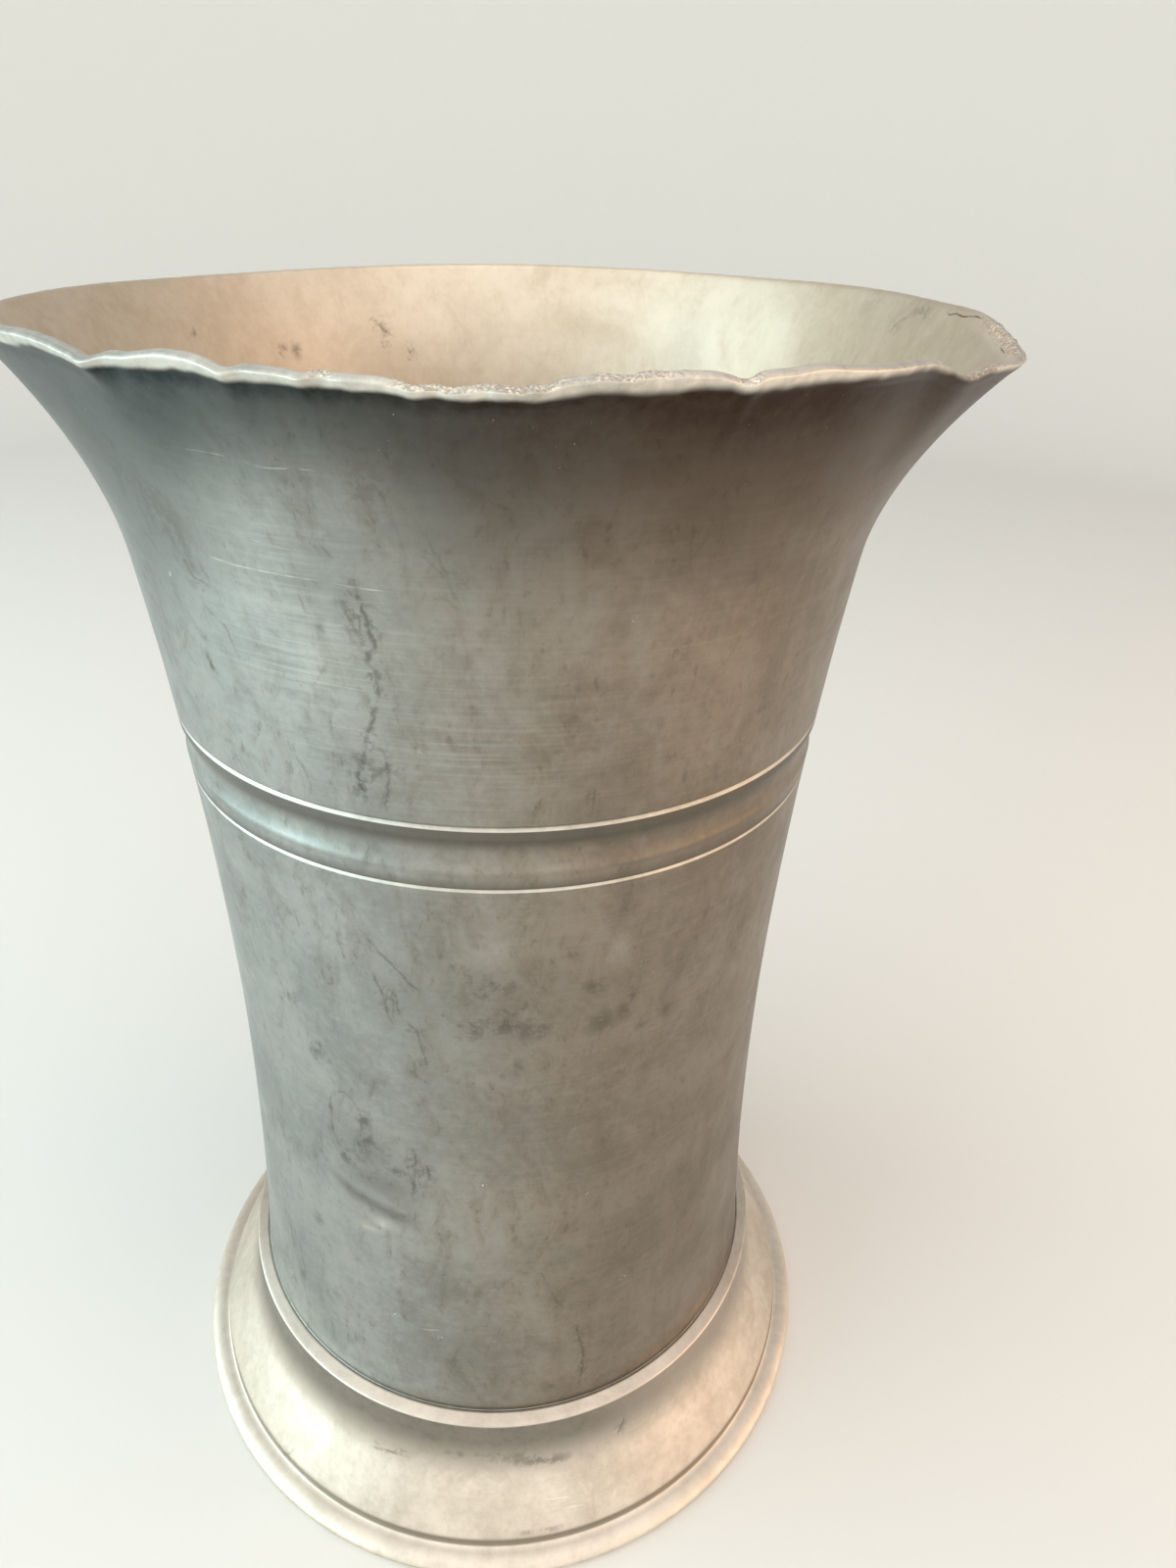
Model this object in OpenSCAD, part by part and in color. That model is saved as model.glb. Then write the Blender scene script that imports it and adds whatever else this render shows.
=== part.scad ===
// Pewter beaker: a waisted drum, a trumpet mouth with a battered lip and a moulded foot, soldered together.
// Lengths are millimetres. The origin is the centre of the resting plane and +Z is up.
// Angles run from +X towards +Y, so the front of the beaker is at 270 degrees.

/* [Body] */
// Height of the rim above the table, before dents
rim_z = 165; // [158:1:172]
// Outside radius of the drum at its waist
waist_r = 38.2; // [37:0.1:39]
// Height of the waist
waist_z = 73; // [68:1:78]
// Radius of the long hollow curve of the wall
wall_bow = 576; // [540:1:640]
// Wall thickness of the drum
drum_t = 2; // [1.9:0.1:2.2]

/* [Mouth] */
// Height at which the lip starts to flare
lip_z = 140; // [136:1:144]
// How far the lip flares beyond the long curve
lip_flare = 4.7; // [3:0.1:6]
// How late the lip turns out, as a power
lip_power = 2.1; // [1.6:0.1:3]
// Wall thickness of the mouth just above the lap joint
mouth_t = 2.3; // [2.2:0.1:2.5]
// Wall thickness at the rim
rim_t = 1.3; // [1:0.1:1.6]
// How far the worn rim falls from its inner to its outer edge
rim_fall = 0.4; // [0.1:0.1:0.5]
// Height at which the dents in the lip fade out
dent_z = 143; // [138:1:150]

/* [Girdle] */
// Height of the upper incised line, where mouth and drum meet
joint_z = 121.9; // [118:0.1:126]
// Distance between the two incised lines
girdle_h = 7.7; // [7:0.1:9]
// Width of an incised line
line_w = 0.6; // [0.4:0.1:0.8]
// Depth of an incised line
line_d = 0.3; // [0.2:0.05:0.35]
// Depth of the hollow between the lines
hollow_d = 0.45; // [0.3:0.05:0.5]
// Plain fillet above the hollow
upper_fillet = 1; // [0.8:0.1:1.2]
// Plain fillet below the hollow
lower_fillet = 1.8; // [1.4:0.1:2]
// Height of the lap inside the mouth
lap_h = 5; // [4:0.5:6]

/* [Foot] */
// Outside radius of the foot
foot_r = 52.4; // [51.5:0.1:54]
// Height of the ledge where the drum comes out
foot_h = 22.2; // [21.5:0.1:23]
// Width of the ledge
ledge_w = 2; // [1.8:0.1:2.4]
// Fall of the ledge towards its outer edge
ledge_fall = 0.7; // [0.3:0.1:1]
// Height of the upright face below the ledge
ledge_face = 2.4; // [1.5:0.1:3]
// Radius of the cove below the upright face
cove_r = 14; // [12:0.5:15]
// Slope of the conical skirt below the cove, in degrees
skirt_slope = 58; // [56:1:59]
// Radius of the step at the foot of the skirt
step_r = 49.2; // [48.5:0.1:49.5]
// Height of the step
step_h = 1.5; // [1.2:0.1:1.6]
// Radius of the rounded edge of the flange
edge_r = 1.3; // [1.1:0.1:1.4]
// Wall thickness of the foot
foot_t = 2.2; // [1.8:0.1:2.4]

/* [Floor] */
// Depth of the socket in the foot that takes the drum
socket_h = 8.7; // [8:0.1:9]
// Thickness of the floor disc
floor_t = 2; // [1.6:0.1:2.4]
// Width of the drum's inward flange that carries the floor
flange_w = 2; // [1.5:0.1:3]
// Thickness of that flange
flange_t = 1.5; // [1.2:0.1:2]
// Thickness of the solder films
solder_t = 0.2; // [0.15:0.05:0.25]
// Leg of the solder fillets
fillet_leg = 1.5; // [1:0.1:1.8]

/* [Hidden] */
$fn = 128;

// Dents in the lip: angle, half width in degrees, push outwards, lift.
// The first three make the spout at the right.
dents = [
    [337.5, 10.8, 4.6, -2],
    [324, 5.4, 0.2, -1.8],
    [351, 8, 1.5, 0.4],
    [196, 18, 2.8, -1],
    [231.8, 6.2, 0.5, -0.75],
    [240, 4, -0.3, 0.25],
    [247, 2, 0.1, -0.4],
    [254.4, 5.4, 0.1, -0.3],
    [265.3, 5, 0.3, -0.8],
    [272.8, 2.6, 0.1, -0.45],
    [285.6, 7.9, 0, 0.4],
    [290.3, 1.7, 0.2, -0.45],
    [299, 4.5, -0.2, 0.4],
    [10, 30, 0, 0.9],
    [145, 45, 0, -1.5],
];
dent_power = 1.6;

// Steps of the curves, the gap between the steps of the neck and of the lip, and facets round the dented mouth
wall_steps = 20;
neck_steps = 4;
neck_gap = 2;
lip_steps = 9;
arc_steps = 8;
mouth_facets = 144;

// Colours of the castings and of the solder
body_grey = [0.5, 0.5, 0.46];
foot_grey = [0.8, 0.77, 0.7];
solder_grey = [0.7, 0.7, 0.68];

// Outside of the wall: one long hollow curve, with the flare of the lip added above lip_z
function lip_share(z) = max(0, (z - lip_z) / (rim_z - lip_z));
function wall_r(z) = waist_r + pow(z - waist_z, 2) / (2 * wall_bow) + lip_flare * pow(lip_share(z), lip_power);

// Points evenly spaced along the wall, set in by a thickness that changes from t0 to t1
function wall_run(z0, z1, t0, t1, steps) = [
    for (i = [0 : steps])
        let (z = z0 + (z1 - z0) * i / steps)
        [wall_r(z) - t0 - (t1 - t0) * i / steps, z]
];

// Points of an arc about a centre
function arc(centre, r, a0, a1) = [
    for (i = [0 : arc_steps])
        let (a = a0 + (a1 - a0) * i / arc_steps)
        centre + r * [cos(a), sin(a)]
];

// Lap joint at the girdle: the drum's spigot stands inside the mouth's socket
lap_top = joint_z + lap_h;
lap_r = wall_r(joint_z) - drum_t / 2 - solder_t / 2;
lap_socket_r = lap_r + solder_t;
lap_inner_r = wall_r(lap_top + solder_t) - mouth_t;
line_root_r = wall_r(joint_z) - line_d;
mouth_bottom = joint_z + solder_t;

// Girdle: two incised lines with a hollow between them
low_line_z = joint_z - girdle_h;
hollow_top = joint_z - line_w / 2 - upper_fillet;
hollow_low = low_line_z + line_w / 2 + lower_fillet;
hollow_half = (hollow_top - hollow_low) / 2;
hollow_mid = (hollow_top + hollow_low) / 2;
function hollow_depth(z) = hollow_d * (1 - pow((z - hollow_mid) / hollow_half, 2));

// Socket of the foot: the drum's lower end, a film of solder and the foot's bore
socket_z = foot_h - socket_h;
drum_bottom = socket_z + solder_t;
spigot_step = 0.15;
spigot_r = wall_r(foot_h) - spigot_step;
bore_r = spigot_r + solder_t;
shoulder_r = bore_r - ledge_w;

// Floor of the cup
cup_r = wall_r(foot_h) - drum_t;
floor_low = drum_bottom + flange_t;
floor_top = floor_low + floor_t;
floor_r = cup_r - solder_t;

// Foot: the outside from the ledge down to the table, and the hollow inside
ledge_r = bore_r + ledge_w;
cove_top = foot_h - ledge_fall - ledge_face;
cove_turn = 90 - skirt_slope;
cove_end = [ledge_r + cove_r * (1 - cos(cove_turn)), cove_top - cove_r * sin(cove_turn)];
step_top = [step_r, cove_end.y - (step_r - cove_end.x) * tan(skirt_slope)];
step_lean = 0.15;
step_low = step_top + [step_lean, -step_h];
edge_centre = [foot_r - edge_r, edge_r];
skirt_inset = foot_t * [sin(skirt_slope), cos(skirt_slope)];
hollow_out = step_top - skirt_inset;
hollow_in = cove_end - skirt_inset;

// How far a lip point is pushed out and lifted, at an angle and for a share of the full dent
function turn(a) = a - 360 * round(a / 360);
function bump(a, d) = exp(-pow(turn(a - d[0]) / d[1], 2));
function dent_sum(a, column) = [for (d = dents) d[column] * bump(a, d)] * [for (d = dents) 1];
function dent_share(z) = pow(max(0, (z - dent_z) / (rim_z - dent_z)), dent_power);
function dented(p, a) =
    let (share = dent_share(p.y), r = p.x + share * dent_sum(a, 2))
    [r * cos(a), r * sin(a), p.y + share * dent_sum(a, 3)];

// Section of the mouth, from the bottom of its socket round the outside, over the rim and down the inside.
// The facets of the socket are set out so that their flats touch the round solder sleeve.
flat_r = lap_socket_r / cos(180 / mouth_facets);
lip_mid_r = wall_r(rim_z) - rim_t / 2;
mouth_section = concat(
    [[flat_r, mouth_bottom], [line_root_r, mouth_bottom]],
    wall_run(mouth_bottom + line_w / 2, lip_z, 0, 0, neck_steps),
    wall_run(lip_z + neck_gap, rim_z - rim_t / 2, 0, 0, lip_steps),
    [[lip_mid_r + rim_t / 4, rim_z - rim_fall], [lip_mid_r - rim_t / 4, rim_z]],
    wall_run(rim_z - rim_t / 2, lip_z + neck_gap, rim_t, rim_t, lip_steps),
    wall_run(lip_z, lap_top + solder_t, rim_t, mouth_t, neck_steps),
    [[flat_r, lap_top + solder_t]]
);

// A closed ring of triangles swept round the axis, with every point moved by the dents
module dented_ring(section) {
    n = len(section);
    points = [
        for (j = [0 : mouth_facets - 1])
            for (p = section)
                dented(p, j * 360 / mouth_facets)
    ];
    faces = [
        for (j = [0 : mouth_facets - 1])
            for (i = [0 : n - 1])
                let (
                    k = (j + 1) % mouth_facets,
                    m = (i + 1) % n,
                    a = j * n + i,
                    b = j * n + m,
                    c = k * n + m,
                    d = k * n + i
                )
                each [[a, b, c], [a, c, d]]
    ];
    polyhedron(points, faces);
}

module flared_mouth() {
    color(body_grey) dented_ring(mouth_section);
}

module drum() {
    outside = concat(
        [[spigot_r, drum_bottom], [spigot_r, foot_h]],
        wall_run(foot_h, low_line_z - line_w / 2, 0, 0, wall_steps),
        [[wall_r(low_line_z) - line_d, low_line_z]],
        [[wall_r(low_line_z + line_w / 2), low_line_z + line_w / 2]],
        [
            for (i = [0 : arc_steps])
                let (z = hollow_low + (hollow_top - hollow_low) * i / arc_steps)
                [wall_r(z) - hollow_depth(z), z]
        ],
        [[wall_r(joint_z - line_w / 2), joint_z - line_w / 2], [line_root_r, joint_z]],
        [[lap_r, joint_z], [lap_r, lap_top]]
    );
    inside = concat(
        [[lap_inner_r, lap_top]],
        wall_run(joint_z, foot_h, drum_t, drum_t, wall_steps),
        [[cup_r, floor_low], [cup_r - flange_w, floor_low], [cup_r - flange_w, drum_bottom]]
    );
    color(body_grey) rotate_extrude() polygon(concat(outside, inside));
}

module foot() {
    outside = concat(
        [[bore_r, foot_h], [ledge_r, foot_h - ledge_fall]],
        arc([ledge_r + cove_r, cove_top], cove_r, 180, 180 + cove_turn),
        [step_top, step_low],
        arc(edge_centre, edge_r, 90, -90)
    );
    inside = [
        [hollow_out.x, 0],
        hollow_out,
        hollow_in,
        [shoulder_r, hollow_in.y],
        [shoulder_r, socket_z],
        [bore_r, socket_z],
    ];
    color(foot_grey) rotate_extrude() polygon(concat(outside, inside));
}

module floor_disc() {
    color(body_grey) translate([0, 0, floor_low]) cylinder(r = floor_r, h = floor_t);
}

// Solder in the lap joint: a sleeve with a thin washer at its lower and upper end
module girdle_solder() {
    section = [
        [lap_r, joint_z],
        [line_root_r, joint_z],
        [line_root_r, mouth_bottom],
        [lap_socket_r, mouth_bottom],
        [lap_socket_r, lap_top + solder_t],
        [lap_inner_r, lap_top + solder_t],
        [lap_inner_r, lap_top],
        [lap_r, lap_top],
    ];
    color(solder_grey) rotate_extrude() polygon(section);
}

// Solder round the floor: a film at the disc's edge and a hollow fillet above it
module floor_solder() {
    section = concat(
        [[floor_r, floor_low], [cup_r, floor_low]],
        arc([cup_r - fillet_leg, floor_top + fillet_leg], fillet_leg, 0, -90),
        [[floor_r, floor_top]]
    );
    color(solder_grey) rotate_extrude() polygon(section);
}

// Solder in the foot: a sleeve round the drum, a washer below it and a hollow bead on the underside
module foot_solder() {
    section = concat(
        [[spigot_r, foot_h], [bore_r, foot_h], [bore_r, socket_z], [shoulder_r, socket_z]],
        arc([shoulder_r - fillet_leg, drum_bottom - fillet_leg], fillet_leg, 0, 90),
        [[spigot_r, drum_bottom]]
    );
    color(solder_grey) rotate_extrude() polygon(section);
}

flared_mouth();
drum();
foot();
floor_disc();
girdle_solder();
floor_solder();
foot_solder();
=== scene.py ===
# Pewter beaker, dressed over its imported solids. Sizes are written in millimetres and made in metres.
# Angles run from +X towards +Y in degrees, so the front of the beaker is at 270.
import math
import bmesh
import bpy
import numpy as np
from mathutils import Matrix, Vector


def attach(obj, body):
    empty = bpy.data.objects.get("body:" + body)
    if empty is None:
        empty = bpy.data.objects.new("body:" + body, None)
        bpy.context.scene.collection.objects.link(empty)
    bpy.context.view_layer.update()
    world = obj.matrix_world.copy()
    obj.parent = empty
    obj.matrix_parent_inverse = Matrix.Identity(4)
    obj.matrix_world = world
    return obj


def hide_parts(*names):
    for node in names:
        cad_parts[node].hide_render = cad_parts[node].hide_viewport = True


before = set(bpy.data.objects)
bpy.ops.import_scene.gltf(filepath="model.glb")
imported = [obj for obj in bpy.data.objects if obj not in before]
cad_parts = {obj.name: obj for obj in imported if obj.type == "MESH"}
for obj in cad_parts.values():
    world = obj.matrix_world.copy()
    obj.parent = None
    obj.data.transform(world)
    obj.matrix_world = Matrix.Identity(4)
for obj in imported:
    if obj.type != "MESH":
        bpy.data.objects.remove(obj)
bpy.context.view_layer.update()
scene = bpy.context.scene
scene.view_settings.view_transform = "Standard"
mm = 0.001

# Camera at the photograph's angle: place in mm, turns in degrees, focal length in pixels, clip in metres
view = dict(place=(0, -125.592, 177.258), yaw=-5.2502, pitch=30.3832, roll=2.4342,
            focal=1070, longSide=1600, sensorMm=36, clip=(0.005, 20))
lens = bpy.data.cameras.new("viewCamera")
lens.sensor_width = view["sensorMm"]
lens.lens = view["sensorMm"] * view["focal"] / view["longSide"]
lens.clip_start, lens.clip_end = view["clip"]
cameraObject = bpy.data.objects.new("viewCamera", lens)
scene.collection.objects.link(cameraObject)
turn = Matrix.Rotation(math.radians(view["yaw"]), 4, "Z")
turn = turn @ Matrix.Rotation(math.radians(90 - view["pitch"]), 4, "X")
turn = turn @ Matrix.Rotation(math.radians(view["roll"]), 4, "Z")
cameraObject.matrix_world = Matrix.Translation(Vector(view["place"]) * mm) @ turn
scene.camera = cameraObject
print("camera placed")


def hexLinear(code):
    parts = [int(code[i:i + 2], 16) / 255 for i in (1, 3, 5)]
    return tuple(c / 12.92 if c <= 0.04045 else ((c + 0.055) / 1.055) ** 2.4 for c in parts) + (1,)


# Adds one node: settings are its own properties, links are sockets by name or index
def add(tree, kind, links=None, **settings):
    node = tree.nodes.new(kind)
    for key, value in settings.items():
        setattr(node, key, value)
    for socket, value in (links or {}).items():
        if isinstance(value, bpy.types.Node):
            value = value.outputs[0]
        if isinstance(value, bpy.types.NodeSocket):
            tree.links.new(value, node.inputs[socket])
        else:
            node.inputs[socket].default_value = value
    return node


# Outside of the wall: one long hollow curve, with the flare of the lip added near the top
wall = dict(rimZ=165, waistR=38.2, waistZ=73, bow=576, lipZ=140, flare=4.7, power=2.1)


def wallR(z):
    share = np.maximum(0, (z - wall["lipZ"]) / (wall["rimZ"] - wall["lipZ"]))
    bowed = wall["waistR"] + (z - wall["waistZ"]) ** 2 / (2 * wall["bow"])
    return bowed + wall["flare"] * share ** wall["power"]


# Points along the wall, set in by a thickness that changes from t0 to t1
def wallRun(z0, z1, step, t0=0, t1=None):
    count = max(2, int(abs(z1 - z0) / step) + 1)
    z = np.linspace(z0, z1, count)
    return np.column_stack([wallR(z) - np.linspace(t0, t0 if t1 is None else t1, count), z])


def arc(centre, radius, a0, a1, count=9):
    a = np.radians(np.linspace(a0, a1, count))
    return np.column_stack([centre[0] + radius * np.cos(a), centre[1] + radius * np.sin(a)])


# Rounds each corner that has a third value, the size of the round, and splits long edges
def eased(points, step=0.6):
    most, roundSteps = 0.45, 5  # a round takes at most this share of an edge
    out = []
    for i, p in enumerate(points):
        here = np.array(p[:2], float)
        if len(p) < 3 or i in (0, len(points) - 1):
            out.append(here)
            continue
        back, ahead = np.array(points[i - 1][:2]) - here, np.array(points[i + 1][:2]) - here
        cut = min(p[2], most * np.linalg.norm(back), most * np.linalg.norm(ahead))
        start, end = here + back / np.linalg.norm(back) * cut, here + ahead / np.linalg.norm(ahead) * cut
        for t in np.linspace(0, 1, roundSteps):
            out.append((1 - t) ** 2 * start + 2 * t * (1 - t) * here + t * t * end)
    fine = [out[0]]
    for p, q in zip(out, out[1:]):
        parts = max(1, int(np.linalg.norm(q - p) / step))
        fine += [p + (q - p) * k / parts for k in range(1, parts + 1)]
    return np.array(fine)


# Turns a closed section into a mesh. Runs are pairs of material number and points, up the outside and down
# the inside; shift moves every point by its angle. Gives the object and the angle, radius and height of
# each point before the shift.
def lathe(name, runs, segments, shift=None):
    section = np.concatenate([points for _, points in runs])
    number = np.concatenate([np.full(len(points), k) for k, points in runs])
    n = len(section)
    angle = np.arange(segments) * 360 / segments
    a, r = np.meshgrid(angle, section[:, 0], indexing="ij")
    z = np.tile(section[:, 1], (segments, 1))
    newR, newZ = shift(a, r, z) if shift else (r, z)
    ring = np.radians(a)
    points = np.stack([newR * np.cos(ring), newR * np.sin(ring), newZ], axis=-1) * mm
    j, i = np.meshgrid(np.arange(segments), np.arange(n), indexing="ij")
    k, m = (j + 1) % segments, (i + 1) % n
    quads = np.stack([j * n + i, k * n + i, k * n + m, j * n + m], axis=-1).reshape(-1, 4)
    mesh = bpy.data.meshes.new(name)
    mesh.from_pydata(points.reshape(-1, 3).tolist(), [], quads.tolist())
    mesh.polygons.foreach_set("material_index", np.tile(number, segments).astype(np.int32))
    mesh.shade_smooth()
    piece = bpy.data.objects.new(name, mesh)
    scene.collection.objects.link(piece)
    print(name, len(quads), "faces")
    return piece, a.ravel(), r.ravel(), z.ravel()


# Joins points that lie on each other, such as those on the axis; reach is in metres
def weldPoints(piece, reach):
    weld = bmesh.new()
    weld.from_mesh(piece.data)
    bmesh.ops.remove_doubles(weld, verts=weld.verts, dist=reach)
    weld.to_mesh(piece.data)
    weld.free()


def paint(piece, name, values):
    layer = piece.data.attributes.new(name, "FLOAT", "POINT")
    layer.data.foreach_set("value", np.ascontiguousarray(values, np.float32))


# Distance in mm from each point to a drawn line, the side of the line that the point is on, and the way from
# there to the line's nearer end
def fromLine(angle, z, line, radius):
    s = np.radians(angle) * radius
    path = [(math.radians(p[0]) * radius, p[1]) for p in line]
    total = sum(math.dist(p, q) for p, q in zip(path, path[1:]))
    best, side, along = np.full(len(z), 1e3), np.ones(len(z)), np.zeros(len(z))
    gone = 0
    for p, q in zip(path, path[1:]):
        length = math.dist(p, q)
        ux, uz = (q[0] - p[0]) / length, (q[1] - p[1]) / length
        t = np.clip((s - p[0]) * ux + (z - p[1]) * uz, 0, length)
        dx, dz = s - p[0] - t * ux, z - p[1] - t * uz
        d = np.hypot(dx, dz)
        nearer = d < best
        best[nearer] = d[nearer]
        side[nearer] = np.where(ux * dz - uz * dx < 0, -1, 1)[nearer]
        along[nearer] = (gone + t)[nearer]
        gone += length
    return best, side, np.minimum(along, total - along)


# Degrees from the middle to each angle, the shorter way round
def turnFrom(middle, angle):
    return (angle - middle + 180) % 360 - 180


# Writes the given marks of a piece. Each set is where it shows and its marks: veins, cracks and stains
# darken; scratches, turned stretches, pale spots and nicks lighten. A vein, crack or scratch is strength,
# half width in mm and its line; the others are angle, height, half width, half height and strength.
def paintMarks(piece, angle, z, radius, sets):
    reach, taper, noLine = 1.6, 1, 9.0  # mm beside a line, mm at its ends, half widths far from any line
    drawn, spots = ("vein", "scratch", "crack"), ("stain", "pale", "nick", "turned")
    layers = {name: np.zeros(len(z)) for name in drawn + spots}
    sides = {name: np.full(len(z), noLine) for name in drawn}
    for where, marks in sets:
        for name in drawn:
            for strength, half, line in marks.get(name, ()):
                best, side, inner = fromLine(angle, z, line, radius)
                fade = np.clip(1.5 - 1.5 * best / reach, 0, 1) * np.clip(inner / taper, 0, 1)
                show = strength * fade * where
                stronger = show > layers[name]
                layers[name][stronger] = show[stronger]
                sides[name][stronger] = (best * side / half)[stronger]
        for name in spots:
            for spotAngle, spotZ, halfW, halfH, strength in marks.get(name, ()):
                aside = np.radians(turnFrom(spotAngle, angle)) * radius
                far = (aside / halfW) ** 2 + ((z - spotZ) / halfH) ** 2
                layers[name] = np.maximum(layers[name], strength * np.exp(-far) * where)
    for name, values in layers.items():
        paint(piece, name, values)
    for name, values in sides.items():
        paint(piece, name + "Side", values)


# A ring of smooth random values, one for each of count knots, read at any angle
def ringNoise(angle, count, seed):
    knots = np.random.default_rng(seed).uniform(-1, 1, count)
    at = (angle % 360) / 360 * count
    low = np.floor(at).astype(int)
    t = at - low
    t = t * t * (3 - 2 * t)
    return knots[low % count] * (1 - t) + knots[(low + 1) % count] * t


# Long shallow unevenness of a hand-finished wall: each wave is strength, turns round the wall, rise in mm
# and start
unevenMm = 0.03
waves = [(1, 2, 31, 0), (0.7, 3, -17, 1.3), (0.5, 5, 9, 4.1), (0.35, 8, -6, 2.2)]


def unevenness(angle, z):
    ring = np.radians(angle)
    return unevenMm * sum(
        strength * np.sin(turns * ring + z / rise + start) for strength, turns, rise, start in waves)


def smoothStep(value, low, high):
    t = np.clip((value - low) / (high - low), 0, 1)
    return t * t * (3 - 2 * t)


# A value that changes across the front, and back again behind: at the left, at the right, and the two angles
# between which it changes
def acrossFront(angle, left, right, low, high):
    behindLow, behindHigh = 10, 70
    share = smoothStep(angle, low, high) + smoothStep(-angle, -behindHigh, -behindLow)
    return left + (right - left) * share


# Cast pewter, turned on a lathe and long handled: a soft grey metal with a satin glow, cloudy patina,
# fine rings from the tool, dark grime and painted shade in its hollows and bright metal where it is rubbed;
# also painted light: shade under the lip, a warm side and highlights in the incised lines.
def pewter(name, look):
    material = bpy.data.materials.new(name)
    material.use_nodes = True
    tree = material.node_tree
    shader = tree.nodes["Principled BSDF"]
    shader.inputs["Metallic"].default_value = 1
    shader.inputs["Anisotropic"].default_value = look["ringGloss"]
    shader.inputs["Anisotropic Rotation"].default_value = 0.25
    tangent = add(tree, "ShaderNodeTangent", direction_type="RADIAL", axis="Z")
    tree.links.new(tangent.outputs[0], shader.inputs["Tangent"])
    place = add(tree, "ShaderNodeTexCoord").outputs["Object"]
    pos = add(tree, "ShaderNodeVectorMath", {0: place, 3: 1 / mm}, operation="SCALE")
    # Tool rings follow the height on the wall and the radius on flat faces
    flat = add(tree, "ShaderNodeVectorMath", {0: pos, 1: (1, 1, 0)}, operation="MULTIPLY")
    radius = add(tree, "ShaderNodeVectorMath", {0: flat}, operation="LENGTH")
    height = add(tree, "ShaderNodeSeparateXYZ", {0: pos})
    climb = add(tree, "ShaderNodeMath", {0: height.outputs["Z"], 1: radius.outputs["Value"]},
                operation="SUBTRACT")
    climb = add(tree, "ShaderNodeMath", {0: climb, 1: look["ringMm"]}, operation="DIVIDE")
    climb = add(tree, "ShaderNodeCombineXYZ", {2: climb})
    slow = 1 / look["ringRun"]
    ringSpace = add(tree, "ShaderNodeVectorMath", {0: pos, 1: (slow, slow, 0), 2: climb},
                    operation="MULTIPLY_ADD")
    rings = add(tree, "ShaderNodeTexNoise", {"Vector": ringSpace, "Scale": 1, "Detail": 3, "Roughness": 0.6})
    # Stains run downwards, so their noises are drawn out along the height
    blotchRun = add(tree, "ShaderNodeVectorMath", {0: pos, 1: (1, 1, 0.45)}, operation="MULTIPLY")
    fleckRun = add(tree, "ShaderNodeVectorMath", {0: pos, 1: (1, 1, 0.5)}, operation="MULTIPLY")
    # Each noise is name, place, detail, roughness and distortion; its size in mm is in the look
    noises = {}
    for key, space, detail, roughness, distortion in (
        ("cloud", pos, 5, 0.62, 0.4), ("grain", pos, 3, 0.5, 0), ("patch", pos, 1, 0.5, 0),
        ("grit", pos, 2, 0.5, 0), ("blotch", blotchRun, 4, 0.65, 0.8), ("fleck", fleckRun, 3, 0.6, 0.5),
        ("speck", pos, 5, 0.7, 0.3),
    ):
        noises[key] = add(tree, "ShaderNodeTexNoise", {
            "Vector": space, "Scale": 1 / look[key + "Mm"], "Detail": detail, "Roughness": roughness,
            "Distortion": distortion})
    cloud, grain, patch, grit, blotch, fleck, speck = noises.values()
    named = {
        key: add(tree, "ShaderNodeAttribute", attribute_name=key).outputs["Fac"]
        for key in ("vein", "veinSide", "scratch", "scratchSide", "crack", "crackSide", "stain", "pale",
                    "nick", "turned", "rim", "grit", "grimeAndShade", "underlipShade", "brownAndWarmLight")
    }
    # Mottled patina in two tones, browner in patches, and browner on one side as painted warm light
    tone = add(tree, "ShaderNodeMix", {0: 0.35, 2: cloud, 3: speck}).outputs[0]
    tone = add(tree, "ShaderNodeMapRange", {0: tone, 1: 0.36, 2: 0.64}, interpolation_type="SMOOTHSTEP")
    colour = add(tree, "ShaderNodeMix", {0: tone, 6: hexLinear(look["shade"]), 7: hexLinear(look["body"])},
                 data_type="RGBA").outputs[2]
    patches = add(tree, "ShaderNodeMath", {0: blotch, 1: 0.9, 2: named["brownAndWarmLight"]}, operation="MULTIPLY_ADD")
    patches = add(tree, "ShaderNodeMath", {0: patches, 1: -0.45}, operation="ADD", use_clamp=True)
    colour = add(tree, "ShaderNodeMix", {0: patches, 6: colour, 7: hexLinear(look["brownAndWarmLight"])},
                 data_type="RGBA", blend_type="MULTIPLY").outputs[2]
    # Light streaks of the turning tool
    bands = add(tree, "ShaderNodeMapRange", {0: rings, 1: 0.42, 2: 0.72}, interpolation_type="SMOOTHSTEP")
    share = add(tree, "ShaderNodeMath", {0: named["turned"], 1: look["ringShow"]}, operation="ADD")
    streak = add(tree, "ShaderNodeMath", {0: bands, 1: share}, operation="MULTIPLY", use_clamp=True)
    # Broad blotches, and small flecks that gather in them
    blotchMask = add(tree, "ShaderNodeMapRange", {0: blotch, 1: 0.5, 2: 0.78, 4: look["blotchShow"]},
                     interpolation_type="SMOOTHSTEP")
    gather = add(tree, "ShaderNodeMapRange", {0: blotch, 1: 0.42, 2: 0.62, 4: look["fleckShow"]})
    fleckMask = add(tree, "ShaderNodeMapRange", {0: fleck, 1: 0.54, 2: 0.7}, interpolation_type="SMOOTHSTEP")
    fleckMask = add(tree, "ShaderNodeMath", {0: fleckMask, 1: gather}, operation="MULTIPLY")
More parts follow.
